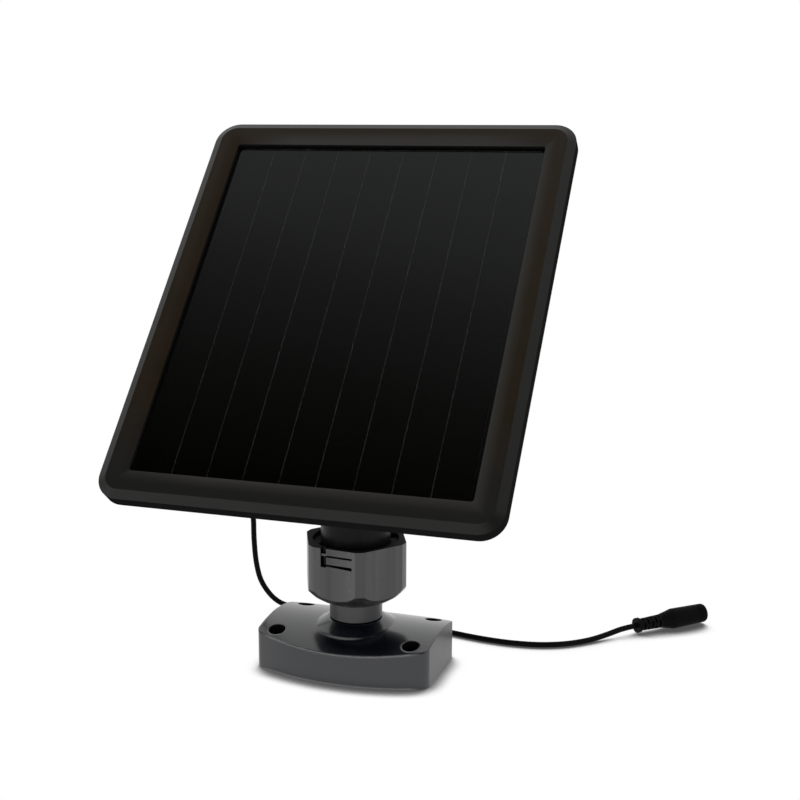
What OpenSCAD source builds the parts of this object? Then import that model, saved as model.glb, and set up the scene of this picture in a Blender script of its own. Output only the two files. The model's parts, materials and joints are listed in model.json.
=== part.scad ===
// Small thin-film solar panel on a swivelling wall or table bracket, with its output lead.
// Millimetres. The origin is on the mounting surface, under the axis of the bracket, +Z up.
// The panel faces -Y and leans back. Panel pieces are drawn flat, in the panel's own frame:
// x across, y up the face, z out of the face, with z = 0 at the lip of the window.

/* [Panel frame] */
// Width of the window in the front frame
open_w = 165; // [120:1:220]
// Height of the window in the front frame
open_h = 193.5; // [140:0.5:260]
// Width of the frame's face, from the window to the bevel
face_w = 10.4; // [9.6:0.1:16]
// Height of the outer half of the face above the window's lip
face_rise = 1; // [0.4:0.1:1.6]
// Width of the bevel round the face
bevel_w = 4.2; // [3:0.1:6]
// Depth of the bevel
bevel_d = 2; // [1:0.1:3]
// Depth of the straight side under the bevel
rim_d = 6.6; // [6:0.1:12]
// Outer corner radius of the frame
corner_r = 12; // [9:0.5:16]
// Corner radius of the window
open_r = 1.5; // [0.5:0.1:3]
// Thickness of the frame at the lip of the window
lip_t = 2; // [1.4:0.1:3]
// Thickness of the frame's skirt
skirt_t = 2.4; // [1.6:0.1:3]
// Thickness of the whole panel, face to back
panel_t = 15; // [14:0.5:26]
// Wall of the back housing
tray_wall = 2.2; // [1.6:0.1:3]
// Thickness of the back housing's flange
flange_t = 2; // [1.6:0.1:3]

/* [Glass and cells] */
// Thickness of the glass
glass_t = 3; // [2:0.1:4]
// How far the glass reaches under the frame
glass_lap = 4; // [3:0.1:5]
// Thickness of the tape that seals the glass to the frame
seal_t = 0.4; // [0.2:0.1:1]
// Number of cell strips
strip_count = 9; // [4:1:14]
// Margin of bare glass at the left edge of the window
strip_margin_left = 1.1; // [0.5:0.1:5]
// Margin of bare glass at the right edge of the window
strip_margin_right = 2.9; // [0.5:0.1:5]
// Width of the scribed gap between two strips
strip_gap = 0.4; // [0.2:0.05:1]
// Thickness of the cell film
film_t = 0.2; // [0.1:0.05:0.4]
// Width of a collecting ribbon
ribbon_w = 3; // [2:0.1:5]
// Thickness of a collecting ribbon
ribbon_t = 0.2; // [0.1:0.05:0.4]
// Thickness of the backing board behind the cells
board_t = 1.6; // [1:0.1:2]

/* [Tilt hinge] */
// Lean of the panel from upright
lean = 40.5; // [16:0.5:89]
// Height of the tilt axis over the mounting surface
pivot_z = 162; // [150:1:220]
// How far the tilt axis lies below the middle of the panel
pivot_drop = 8; // [0:0.5:20]
// Radius of the knuckle on the post
knuckle_r = 10.5; // [9:0.5:14]
// Thickness of the knuckle
knuckle_t = 14; // [10:0.5:20]
// Thickness of a bracket ear
ear_t = 6; // [4:0.5:9]
// Thickness of the bracket's plate
plate_t = 3; // [2:0.5:5]
// Width of the bracket's plate
plate_w = 64; // [60:1:90]
// Height of the bracket's plate
plate_h = 48; // [46:1:70]
// Diameter of the tilt bolt
bolt_d = 6; // [4:0.5:8]
// Width across flats of the bolt head and its nut
bolt_flats = 10; // [9:0.5:14]
// Thickness of the bolt head and of its nut
bolt_head_t = 4.2; // [3:0.1:6]
// Thickness of a friction washer
washer_t = 1; // [0.5:0.1:2]

/* [Post and clamp] */
// Radius of the post where it enters the clamp
post_r = 17.8; // [15:0.1:20]
// Radius of the post under the knuckle
post_top_r = 12.5; // [11:0.1:14]
// Wall of the hollow post
post_wall = 3.2; // [2:0.1:4]
// Wall of the split socket
socket_wall = 3.6; // [3:0.1:5]
// Height at which the post starts to taper
post_taper_z = 92; // [80:1:120]
// Width of a slot between two fingers of the socket
finger_slot = 6; // [3:0.1:9]
// Number of fingers round the socket
finger_count = 4; // [3:1:6]
// Turn of the socket's slots about the axis
finger_turn = -48; // [-90:1:90]
// Radius of the neck under the socket
neck_r = 13.4; // [12.5:0.1:14.5]
// Top of the clamp nut over the mounting surface
nut_top = 66.5; // [64:0.5:80]
// Lower edge of the clamp nut's straight wall
nut_shoulder_z = 43.4; // [42:0.1:46]
// Lower edge of the clamp nut
nut_bottom_z = 34; // [32:0.5:36]
// Wall of the clamp nut at the middle of a flat
nut_wall = 2.6; // [2:0.1:4]
// How far the rounded corners of the clamp nut stand out past its flats
nut_corner = 2.5; // [1:0.1:3]
// Turn of the clamp nut about its axis, as tightened
nut_turn = 54; // [0:1:119]
// Width of the slot at the free end of the nut's spring tongues
tongue_slot = 3; // [2:0.1:5]
// Length of the nut's spring tongues
tongue_len = 14; // [8:0.1:15]
// Height of the nut's rim over a spring tongue
tongue_rim = 3.4; // [2:0.1:5]
// Height of a spring tongue
tongue_h = 3.7; // [3:0.1:6]
// Width of the slits over and under a spring tongue
tongue_slit = 0.9; // [0.6:0.1:1.4]

/* [Base] */
// Length of the base
base_l = 91; // [84:1:130]
// Width of the base at its middle
base_w = 65; // [60:1:90]
// Width of the base at its ends
base_end_w = 45; // [44:1:60]
// Corner radius of the base
base_corner_r = 5; // [2:0.5:8]
// Height of the base along its crown
base_h = 22; // [20:0.1:24]
// Radius of the crowned top
crown_r = 88; // [80:1:200]
// Wall of the base
base_wall = 3; // [2:0.1:4]
// Radius of the boss that carries the neck, at its foot
boss_r = 21.5; // [19:0.1:23]
// Top of the boss
boss_top = 24.8; // [24.2:0.1:26.5]
// Height of the boss's cone
boss_cone_h = 4; // [2:0.1:5]
// Distance between the fixing holes along the base
hole_dx = 71; // [66:0.5:76]
// Distance between the fixing holes across the base
hole_dy = 39; // [34:0.5:40]
// Diameter of a fixing hole
hole_d = 4.6; // [3:0.1:6]
// Diameter of the well over a fixing hole
well_d = 8.6; // [7:0.1:10]
// Thickness of the seat under a fixing screw's head
seat_t = 5; // [3:0.5:8]
// Diameter of the screw that holds the neck
neck_screw_d = 5; // [4:0.5:6]

/* [Lead] */
// Diameter of the output lead
cord_d = 3; // [2:0.1:4]
// Diameter of the in-line socket
conn_d = 11; // [9:0.1:14]
// Length of the in-line socket's body
conn_l = 29; // [22:0.5:40]
// Length of the boot between the lead and the socket
boot_l = 15.5; // [12:0.5:24]
// Opening of the in-line socket
conn_bore_d = 5.7; // [5:0.1:6.5]
// Depth of the in-line socket's opening
conn_bore_l = 10; // [8:0.5:14]
// Diameter of the socket's centre pin
pin_d = 2.1; // [1.3:0.1:2.5]
// Distance of the gland from the left edge of the back housing
gland_inset = 15.1; // [14:0.1:24]
// Place of the gland up the panel's back, from the middle
gland_y = -30; // [-50:1:-24]

/* [Hidden] */
$fn = 64;
eps = 0.01;

// Clearances: a turning fit, pieces that move past each other, pieces that slip together
run_gap = 0.08;
move_gap = 0.4;
slip_gap = 0.2;
// Shank in its threaded hole, on the radius
thread_gap = 0.05;

// Panel, across
rim_w = face_w + bevel_w;
panel_w = open_w + 2 * rim_w;
panel_h = open_h + 2 * rim_w;
glass_w = open_w + 2 * glass_lap;
glass_h = open_h + 2 * glass_lap;
channel_w = rim_w - glass_lap - skirt_t;
screw_inset = skirt_t + channel_w / 2;
screw_d = 2.6;
screw_head_d = 5.4;
screw_head_t = 1.8;
tray_inset = screw_inset + screw_head_d / 2 + 0.8;
tray_w = panel_w - 2 * tray_inset;
tray_h = panel_h - 2 * tray_inset;
tray_r = 6;
tray_bevel = 2;
screw_cols = 3;
screw_rows = 3;
// The corner screws stand further in, so that their heads stay on the rounded flange
head_margin = 0.3;
corner_shift = max(0, corner_r - screw_inset
    - (corner_r - skirt_t - slip_gap - screw_head_d / 2 - head_margin) / sqrt(2));
board_gap = 0.5;

// Panel, depth from the window's lip
side_top = face_rise - bevel_d;
skirt_end = side_top - rim_d;
glass_top = -lip_t - seal_t;
glass_back = glass_top - glass_t;
film_back = glass_back - film_t;
ribbon_back = film_back - ribbon_t;
board_back = ribbon_back - board_t;
flange_back = glass_back - flange_t;
tray_back = face_rise - panel_t;
tray_floor = tray_back + tray_wall;

// Cells
strip_pitch = (open_w - strip_margin_left - strip_margin_right) / strip_count;
strip_x0 = -open_w / 2 + strip_margin_left;
strip_h = open_h + 2;

// Hinge
knuckle_gap = 1.5;
pivot_y = -pivot_drop;
pivot_depth = tray_back - plate_t - knuckle_gap - knuckle_r;
ear_r = knuckle_r + 0.5;
ear_in = knuckle_t / 2 + move_gap + washer_t;
ear_out = ear_in + ear_t;
plate_r = 5;
plate_screw_d = 3.6;
plate_screw_head_d = 6.8;
plate_screw_head_t = 2.4;
plate_screw_inset = 7;
plate_boss_d = 8;

// Post, socket and nut
socket_bore_r = post_r + run_gap;
socket_r = socket_bore_r + socket_wall;
socket_top = nut_top - 2;
cup_floor = nut_shoulder_z + 3.5;
bead_z = socket_top - 4;
bead_h = 1.2;
bead_depth = 0.5;
groove_depth = bead_depth + move_gap;
nut_bore_r = socket_r + move_gap;
nut_flat_r = nut_bore_r + nut_wall;
nut_round_r = nut_flat_r + nut_corner;
nut_mouth_r = neck_r + move_gap;
nut_edge = 0.8;
nut_slope = (nut_shoulder_z - nut_bottom_z) / (nut_round_r - nut_mouth_r - nut_edge);
nut_cone_rise = 2.85;
// Rounded underside of the nut, from its mouth to its shoulder: share of the width, share of the height
nut_bowl = [[0, 0], [0.35, 0.2], [0.65, 0.45], [0.88, 0.75], [1, 1]];
nut_cone_z = nut_bottom_z + nut_cone_rise - nut_edge * nut_slope;
nut_cone_top = nut_cone_z + (nut_bore_r - nut_mouth_r) * nut_slope;
tongue_start = -7.4;
tongue_bridge = 1.3;
tongue_wedge = 0.7;
tongue_count = 2;
post_bottom = cup_floor + 0.3;
post_taper_top = pivot_z - knuckle_r - 13.5;
post_dome_top = post_taper_top + 6;
post_bore_top = post_taper_top - 8;

// Base
boss_floor = 10;
boss_column_r = 16.7;
boss_top_r = neck_r + 0.9;
spigot_r = 11;
neck_gap = 0.6;
neck_z = boss_top + neck_gap;
screw_well_r = 7;
screw_well_h = 6;
neck_washer_t = 1;
neck_head_d = 9;
neck_head_t = 3.4;
neck_screw_end = 30;
key_w = 3;
key_d = 1.6;
rib_t = 2.4;
column_r = well_d / 2 + 2.2;

// Gland and board on the panel's back
gland_flange_d = 12;
gland_flange_t = 2;
gland_nose_l = 14;
gland_body_d = 7;
gland_nut_d = 11;
gland_nut_t = 1.6;
gland_x = gland_inset - tray_w / 2;
pcb_w = 20;
pcb_h = 20;
pcb_t = 1.2;
pcb_reach = 12;
pcb_x = gland_x + pcb_reach + pcb_w / 2;
pcb_y = gland_y - 2;
pcb_rib_gap = 2.4;
tray_rib_x = [pcb_x + pcb_w / 2 + pcb_rib_gap, tray_w / 4 + 10];
standoff_d = 4;
standoff_h = 0.8;
diode_d = 2;
diode_l = 5;
lead_d = 1;

// Lead: the flex follows points chosen by hand, from the gland down to the surface,
// behind the base and out to the in-line socket, which rests on its widest ring. Its hanging part goes with the gland
conn_tilt = 1.5;
flare_l = 8.6;
conn_start = [130.6, 84.6, conn_d / 2 * cos(conn_tilt) - (boot_l + flare_l) * sin(conn_tilt)];
conn_angle = 42;
cord_route = [
    [-72, -13.5, 144.6], [-72, -5.9, 138.1], [-72, 2, 131.2], [-72.3, 10, 123.2], [-73, 18, 113.5],
    [-73.8, 25.5, 102], [-74.6, 32, 89], [-75.4, 37.5, 74], [-76, 42, 57.5], [-77.4, 45.5, 44.5],
    [-78.2, 49.5, 30], [-77.4, 53.5, 18], [-73.8, 57, 9], [-69, 59.5, 3.6], [-63, 60.5, 1.6],
    [-54, 61, 1.5], [-42, 61, 1.5], [-28, 60.5, 1.5], [-14, 59.5, 1.5], [0, 58, 1.5], [13, 56, 1.5],
    [25, 53.2, 1.5], [36.5, 50.4, 1.5], [49, 48, 1.5], [60, 46.7, 1.5], [71, 46.5, 1.5],
    [85, 48.6, 1.5], [98, 54.4, 1.5], [109, 63.6, 1.6], [117, 71.6, 2.7], [123.6, 78.1, 4.2],
    conn_start];
cord_swing_h = 120;
cord_points = [for (p = cord_route) p + [(gland_x - cord_route[0][0]) * min(1, p[2] / cord_swing_h), 0, 0]];
cord_sides = 8;
cord_steps = 2;
cord_ref = [0.6, -0.8, 0];
cord_end_gap = 0.3;
boot_flange_d = 8.1;
boot_flange_t = 2.1;
boot_core_d = 5.6;
boot_d = 6.6;
boot_end_d = 7.4;
boot_rows = 5;
boot_row_slots = 4;
boot_slot_t = 1.2;
boot_slot_w = 3.6;
boot_slot_depth = 0.9;
boot_spigot_l = 3;
conn_end_d = 10.2;
conn_edge = 1.2;
conn_rings = 3;
conn_ring_pitch = 1.4;
conn_ring_w = 0.5;
conn_ring_depth = 0.2;
contact_l = 6;
sleeve_t = 0.5;

// Colours
black_frame = [0.10, 0.10, 0.10];
black_back = [0.08, 0.08, 0.08];
bracket_grey = [0.36, 0.37, 0.38];
steel = [0.72, 0.72, 0.70];
cell_black = [0.02, 0.02, 0.03];
rubber_black = [0.05, 0.05, 0.05];

// Frames
module on_panel() {
    translate([0, 0, pivot_z]) rotate([90 - lean, 0, 0]) translate([0, -pivot_y, -pivot_depth]) children();
}

module at_socket() {
    translate(conn_start) rotate([0, 0, conn_angle]) rotate([0, 90 - conn_tilt, 0]) children();
}

// Shared shapes
module round_rect(w, h, r) {
    square([w - 2 * r, h], center = true);
    square([w, h - 2 * r], center = true);
    for (sx = [-1, 1], sy = [-1, 1]) translate([sx * (w / 2 - r), sy * (h / 2 - r)]) circle(r);
}

module round_slab(w, h, r, z0, z1) {
    translate([0, 0, z0]) linear_extrude(z1 - z0) round_rect(w, h, r);
}

// Rounded block whose upper edge is bevelled all round: bars across each way and a cone at each corner
module bevelled_block(w, h, r, z0, z1, bw, bd) {
    module section(half) {
        polygon([[-half, z0], [half, z0], [half, z1 - bd], [half - bw, z1], [bw - half, z1], [-half, z1 - bd]]);
    }
    translate([0, h / 2 - r, 0]) rotate([90, 0, 0]) linear_extrude(h - 2 * r) section(w / 2);
    translate([r - w / 2, 0, 0]) rotate([90, 0, 90]) linear_extrude(w - 2 * r) section(h / 2);
    for (sx = [-1, 1], sy = [-1, 1]) translate([sx * (w / 2 - r), sy * (h / 2 - r), 0])
        rotate_extrude() polygon([[0, z0], [r, z0], [r, z1 - bd], [r - bw, z1], [0, z1]]);
}

module bar(r, z0, z1) {
    translate([0, 0, z0]) cylinder(r = r, h = z1 - z0);
}

// Pan head screw: head towards -z, its seat at z0 and its tip at z1
module pan_screw(d, head_d, head_t, z0, z1) {
    bar(d / 2, z0 - eps, z1);
    difference() {
        bar(head_d / 2, z0 - head_t, z0);
        for (a = [0, 90]) rotate([0, 0, a])
            translate([0, 0, z0 - head_t]) cube([head_d * 0.55, head_d * 0.13, head_t], center = true);
    }
}

function unit(v) = v / norm(v);

// Smooth curve through the points: a ring of the tube at every step
function spline(p, i, t) = let(
    a = p[max(i - 1, 0)], b = p[i], c = p[i + 1], d = p[min(i + 2, len(p) - 1)])
    0.5 * (2 * b + (c - a) * t + (2 * a - 5 * b + 4 * c - d) * t * t + (3 * b - a - 3 * c + d) * t * t * t);

function curve(p, steps) = concat(
    [for (i = [0:len(p) - 2], s = [0:steps - 1]) spline(p, i, s / steps)], [p[len(p) - 1]]);

function tangent(p, i) = unit(p[min(i + 1, len(p) - 1)] - p[max(i - 1, 0)]);

function ring(c, t, r, n) = let(a = unit(cross(t, cord_ref)), b = cross(t, a))
    [for (k = [0:n - 1]) c + r * (cos(360 * k / n) * a + sin(360 * k / n) * b)];

module tube(path, r, n) {
    last = len(path) - 1;
    sides = [for (i = [0:last - 1], k = [0:n - 1]) let(m = (k + 1) % n)
        each [[i * n + k, (i + 1) * n + k, (i + 1) * n + m], [i * n + k, (i + 1) * n + m, i * n + m]]];
    caps = [for (k = [1:n - 2])
        each [[0, k, k + 1], [last * n, last * n + k + 1, last * n + k]]];
    polyhedron([for (i = [0:last]) each ring(path[i], tangent(path, i), r, n)], concat(sides, caps));
}

// Base
module base_outline(inset) {
    half_l = base_l / 2 - inset;
    half_w = base_w / 2 - inset;
    sag = (base_w - base_end_w) / 2;
    bow_r = (pow(base_l / 2, 2) + sag * sag) / (2 * sag) - inset;
    bow_y = bow_r - half_w;
    r = max(base_corner_r - inset, 0.5);
    cx = half_l - r;
    cy = sqrt(pow(bow_r - r, 2) - cx * cx) - bow_y;
    edge_x = cx * bow_r / (bow_r - r);
    intersection() {
        translate([0, bow_y]) circle(bow_r, $fn = 256);
        translate([0, -bow_y]) circle(bow_r, $fn = 256);
        union() {
            square([2 * edge_x, base_w], center = true);
            square([2 * half_l, 2 * cy], center = true);
            for (sx = [-1, 1], sy = [-1, 1]) translate([sx * cx, sy * cy]) circle(r);
        }
    }
}

module crowned(inset, z0) {
    intersection() {
        translate([0, 0, z0]) linear_extrude(base_h) base_outline(inset);
        translate([-base_l, 0, base_h - crown_r]) rotate([0, 90, 0])
            cylinder(r = crown_r - inset, h = 2 * base_l, $fn = 256);
    }
}

module fixing_places() {
    for (sx = [-1, 1], sy = [-1, 1]) translate([sx * hole_dx / 2, sy * hole_dy / 2, 0]) children();
}

module base_plate() color(bracket_grey) difference() {
    union() {
        difference() {
            crowned(0, 0);
            difference() {
                crowned(base_wall, -eps);
                bar(boss_column_r, -1, base_h + 1);
                fixing_places() bar(column_r, -1, base_h + 1);
                for (sx = [-1, 1]) translate([sx * hole_dx / 4, 0, base_h / 2])
                    cube([rib_t, base_w, 2 * base_h], center = true);
                translate([0, 0, base_h / 2]) cube([base_l, rib_t, 2 * base_h], center = true);
            }
        }
        rotate_extrude() polygon([
            [0, boss_floor], [boss_r, boss_floor], [boss_r, boss_top - boss_cone_h],
            [boss_top_r, boss_top], [0, boss_top]]);
    }
    fixing_places() {
        bar(hole_d / 2, -1, base_h);
        bar(well_d / 2, seat_t, base_h + 1);
    }
    bar(screw_well_r, -1, screw_well_h);
    bar(neck_screw_d / 2 + slip_gap, 0, boss_floor + 1);
    bar(spigot_r + slip_gap, boss_floor, boss_top + 1);
    translate([0, spigot_r, (boss_floor + boss_top + 1) / 2])
        cube([key_w + 2 * slip_gap, 2 * (key_d + slip_gap), boss_top + 1 - boss_floor], center = true);
}

module neck_washer() color(steel) difference() {
    bar(screw_well_r - 0.8, screw_well_h - neck_washer_t, screw_well_h);
    bar(neck_screw_d / 2 + slip_gap, 0, boss_floor);
}

module neck_screw() color(steel)
    pan_screw(neck_screw_d, neck_head_d, neck_head_t, screw_well_h - neck_washer_t, neck_screw_end);

// Neck with the split socket that grips the post
module clamp_socket() color(bracket_grey) difference() {
    union() {
        rotate_extrude() polygon([
            [0, boss_floor], [spigot_r, boss_floor], [spigot_r, neck_z], [neck_r, neck_z],
            [neck_r, nut_cone_z + move_gap], [socket_r, nut_cone_top + move_gap], [socket_r, socket_top],
            [socket_bore_r, socket_top],
            [socket_bore_r, bead_z + bead_h], [socket_bore_r - bead_depth, bead_z + bead_h / 2],
            [socket_bore_r, bead_z], [socket_bore_r, cup_floor], [0, cup_floor]]);
        translate([0, spigot_r, (boss_floor + boss_top) / 2])
            cube([key_w, 2 * key_d, boss_top - boss_floor], center = true);
    }
    bar(neck_screw_d / 2 + thread_gap, boss_floor - 1, neck_screw_end + 1);
    for (i = [0:finger_count - 1]) rotate([0, 0, finger_turn + 360 * i / finger_count])
        translate([socket_bore_r - 1, -finger_slot / 2, cup_floor + 4])
            cube([socket_wall + 2, finger_slot, socket_top]);
}

// Six-sided nut with rounded corners and a cone under it. Two opposite flats have a spring tongue
module clamp_nut() color(bracket_grey) rotate([0, 0, nut_turn]) difference() {
    intersection() {
        translate([0, 0, nut_bottom_z]) linear_extrude(nut_top - nut_bottom_z) intersection() {
            circle(nut_flat_r / cos(30), $fn = 6);
            circle(nut_round_r);
        }
        rotate_extrude() polygon([
            [0, nut_bottom_z], for (step = nut_bowl) [
                nut_mouth_r + nut_edge + step[0] * (nut_round_r - nut_mouth_r - nut_edge),
                nut_bottom_z + step[1] * (nut_shoulder_z - nut_bottom_z)],
            [nut_round_r + 1, nut_shoulder_z], [nut_round_r + 1, nut_top], [0, nut_top]]);
    }
    rotate_extrude() polygon([
        [0, nut_bottom_z - 1], [nut_mouth_r, nut_bottom_z - 1], [nut_mouth_r, nut_cone_z],
        [nut_bore_r, nut_cone_top], [nut_bore_r, nut_top + 1], [0, nut_top + 1]]);
    for (i = [0:tongue_count - 1]) rotate([0, 0, 360 * i / tongue_count - 150]) difference() {
        tongue_cuts();
        translate([0, tongue_start - 1, nut_top - tongue_rim - tongue_bridge / 2])
            cube([nut_flat_r - tongue_bridge / 2, tongue_slot + 1, tongue_bridge]);
    }
}

// Cuts in one flat, which faces +x here: a slot at the tongue's free end, with a bridge across it, a slit over the
// tongue and a slit under it that widens to its root
module tongue_cuts() {
    slit_y = tongue_start + tongue_slot;
    over_z = nut_top - tongue_rim - tongue_slit;
    under_z = over_z - tongue_h - tongue_slit;
    translate([nut_bore_r - 1, 0, 0]) rotate([90, 0, 90]) linear_extrude(nut_wall + 3) {
        translate([tongue_start, under_z - tongue_wedge]) square([tongue_slot, nut_top + 1 - under_z + tongue_wedge]);
        translate([slit_y - 1, over_z]) square([tongue_len + 1, tongue_slit]);
        polygon([[slit_y - 1, under_z], [slit_y + tongue_len, under_z - tongue_wedge],
            [slit_y + tongue_len, under_z + tongue_slit], [slit_y - 1, under_z + tongue_slit]]);
    }
}

// Hollow post with the tilt knuckle on top
module support_post() color(black_back) difference() {
    union() {
        rotate_extrude() polygon([
            [post_r - post_wall, post_bottom], [post_r, post_bottom],
            [post_r, bead_z - move_gap], [post_r - groove_depth, bead_z + bead_h / 2 - move_gap],
            [post_r - groove_depth, bead_z + bead_h / 2 + move_gap], [post_r, bead_z + bead_h + move_gap],
            [post_r, post_taper_z], [post_top_r, post_taper_top],
            [post_top_r - 4, post_dome_top], [0, post_dome_top],
            [0, post_bore_top], [post_top_r - post_wall, post_bore_top],
            [post_r - post_wall, post_taper_z]]);
        translate([-knuckle_t / 2, 0, 0]) rotate([90, 0, 90]) linear_extrude(knuckle_t) {
            translate([0, pivot_z]) circle(knuckle_r);
            translate([-knuckle_r, post_taper_top - 2]) square([2 * knuckle_r, pivot_z - post_taper_top + 2]);
        }
    }
    translate([-knuckle_t, 0, pivot_z]) rotate([0, 90, 0]) cylinder(d = bolt_d + 2 * run_gap, h = 2 * knuckle_t);
}

// Hinge bracket on the panel's back
module plate_screw_places() {
    for (sx = [-1, 1], sy = [-1, 1])
        translate([sx * (plate_w / 2 - plate_screw_inset), pivot_y + sy * (plate_h / 2 - plate_screw_inset), 0])
            children();
}

module along_pivot() {
    translate([0, pivot_y, pivot_depth]) rotate([0, 90, 0]) children();
}

module panel_bracket() color(black_back) on_panel() difference() {
    union() {
        translate([0, pivot_y, 0]) round_slab(plate_w, plate_h, plate_r, tray_back - plate_t, tray_back);
        for (side = [-1, 1]) translate([side * (ear_in + ear_t / 2), pivot_y, 0]) {
            translate([0, 0, pivot_depth]) rotate([0, 90, 0]) cylinder(r = ear_r, h = ear_t, center = true);
            translate([-ear_t / 2, -ear_r, pivot_depth])
                cube([ear_t, 2 * ear_r, tray_back - plate_t / 2 - pivot_depth]);
            for (sy = [-1, 1]) translate([0, sy * ear_r, tray_back - plate_t])
                rotate([90, 0, 90]) translate([0, 0, -ear_t / 2]) linear_extrude(ear_t)
                    polygon([[0, 0.5], [sy * 7, 0.5], [sy * 7, 0], [0, -8]]);
        }
    }
    along_pivot() cylinder(d = bolt_d + 2 * run_gap, h = 4 * ear_out, center = true);
    plate_screw_places() bar(plate_screw_d / 2 + slip_gap, tray_back - plate_t - 1, tray_back + 1);
}

module bracket_screws() color(steel) on_panel() plate_screw_places()
    pan_screw(plate_screw_d, plate_screw_head_d, plate_screw_head_t, tray_back - plate_t, board_back - 0.6);

module tilt_bolt() color(steel) on_panel() along_pivot() {
    bar(bolt_d / 2, -ear_out - bolt_head_t - 1, ear_out + eps);
    bar(bolt_flats / 2 / cos(30), ear_out, ear_out + bolt_head_t, $fn = 6);
}

module tilt_nut() color(steel) on_panel() along_pivot() difference() {
    translate([0, 0, -ear_out - bolt_head_t]) cylinder(d = bolt_flats / cos(30), h = bolt_head_t, $fn = 6);
    bar(bolt_d / 2 + thread_gap, -2 * ear_out, 0);
}

module tilt_washers() color(rubber_black) on_panel() along_pivot() for (side = [-1, 1])
    translate([0, 0, side * (ear_in - washer_t / 2)]) difference() {
        cylinder(r = knuckle_r - 1, h = washer_t, center = true);
        cylinder(d = bolt_d + 2 * slip_gap, h = 2 * washer_t, center = true);
    }

// Back housing: a shallow tray with a flange that closes the frame
module rim_screw_places() {
    sx = panel_w / 2 - screw_inset;
    sy = panel_h / 2 - screw_inset;
    for (i = [0:screw_cols - 1], side = [-1, 1])
        translate([(2 * i / (screw_cols - 1) - 1) * (sx - corner_shift),
            side * (i % (screw_cols - 1) == 0 ? sy - corner_shift : sy), 0]) children();
    for (i = [1:screw_rows - 2], side = [-1, 1])
        translate([side * sx, (2 * i / (screw_rows - 1) - 1) * sy, 0]) children();
}

module back_housing() color(black_back) on_panel() difference() {
    union() {
        difference() {
            union() {
                mirror([0, 0, 1]) bevelled_block(tray_w, tray_h, tray_r, -flange_back - eps, -tray_back,
                    tray_bevel, tray_bevel);
                round_slab(panel_w - 2 * (skirt_t + slip_gap), panel_h - 2 * (skirt_t + slip_gap),
                    corner_r - skirt_t - slip_gap, flange_back, glass_back);
            }
            round_slab(tray_w - 2 * tray_wall, tray_h - 2 * tray_wall, tray_r - tray_wall,
                tray_floor, glass_back + 1);
        }
        for (x = tray_rib_x) translate([x, 0, (tray_floor + board_back) / 2])
            cube([tray_wall, tray_h - tray_wall, board_back - tray_floor], center = true);
        plate_screw_places() bar(plate_boss_d / 2, tray_floor - eps, board_back);
        translate([pcb_x, pcb_y, 0]) for (s = [-1, 1]) translate([s * (pcb_w / 2 - 4), 0, 0])
            bar(standoff_d / 2, tray_floor - eps, tray_floor + standoff_h);
    }
    plate_screw_places() bar(plate_screw_d / 2 + thread_gap, tray_back - 1, board_back + 1);
    rim_screw_places() bar(screw_d / 2 + slip_gap, flange_back - 1, glass_back + 1);
    translate([gland_x, gland_y, 0]) bar(gland_body_d / 2 + slip_gap, tray_back - 1, tray_floor + 1);
}

// Front frame: the outer half of its face is flat, the inner half slopes down to the window
module front_bezel() color(black_frame) on_panel() difference() {
    union() {
        difference() {
            bevelled_block(panel_w, panel_h, corner_r, skirt_end, face_rise, bevel_w, bevel_d);
            round_slab(panel_w - 2 * skirt_t, panel_h - 2 * skirt_t, corner_r - skirt_t, skirt_end - 1, -lip_t);
        }
        rim_screw_places() bar(channel_w / 2 - slip_gap, glass_back, -lip_t + eps);
    }
    round_slab(open_w, open_h, open_r, -lip_t - 1, face_rise + 1);
    hull() {
        translate([0, 0, face_rise / 2]) cube([open_w, open_h, face_rise], center = true);
        translate([0, 0, face_rise + eps]) cube([open_w + face_w, open_h + face_w, eps], center = true);
    }
    rim_screw_places() bar(screw_d / 2 + thread_gap, glass_back - 1, -lip_t - 0.4);
}

module housing_screws() color(steel) on_panel() rim_screw_places()
    pan_screw(screw_d, screw_head_d, screw_head_t, flange_back, -lip_t - 0.8);

// Glass, its seal and the cells behind it
module glass_seal() color(rubber_black) on_panel() difference() {
    round_slab(glass_w - 1, glass_h - 1, open_r, glass_top, -lip_t);
    round_slab(open_w + 1, open_h + 1, open_r, glass_top - 1, 0);
}

module solar_glass() color(cell_black) on_panel()
    round_slab(glass_w, glass_h, open_r, glass_back, glass_top);

module cell_strips() color(cell_black) on_panel() for (i = [0:strip_count - 1])
    translate([strip_x0 + i * strip_pitch + strip_gap / 2, -strip_h / 2, film_back])
        cube([strip_pitch - strip_gap, strip_h, film_t]);

module bus_ribbons() color(steel) on_panel() for (i = [0, strip_count - 1])
    translate([strip_x0 + (i + 0.5) * strip_pitch - ribbon_w / 2, -strip_h / 2 + 2, ribbon_back])
        cube([ribbon_w, strip_h - 4, ribbon_t]);

module backing_board() color([0.35, 0.33, 0.28]) on_panel()
    round_slab(tray_w - 2 * (tray_wall + board_gap), tray_h - 2 * (tray_wall + board_gap),
        tray_r - tray_wall - board_gap, board_back, ribbon_back);

// Junction board with the diode that stops current flowing back at night
module junction_board() color([0.10, 0.30, 0.16]) on_panel() translate([pcb_x, pcb_y, 0])
    translate([-pcb_w / 2, -pcb_h / 2, tray_floor + standoff_h]) cube([pcb_w, pcb_h, pcb_t]);

module blocking_diode() color([0.12, 0.12, 0.13]) on_panel()
    translate([pcb_x, pcb_y + 4, tray_floor + standoff_h + pcb_t + diode_d / 2]) rotate([0, 90, 0]) {
        cylinder(d = diode_d - 0.2, h = diode_l, center = true);
        translate([0, 0, diode_l / 2 - 0.6]) cylinder(d = diode_d, h = 0.8, center = true);
    }

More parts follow.
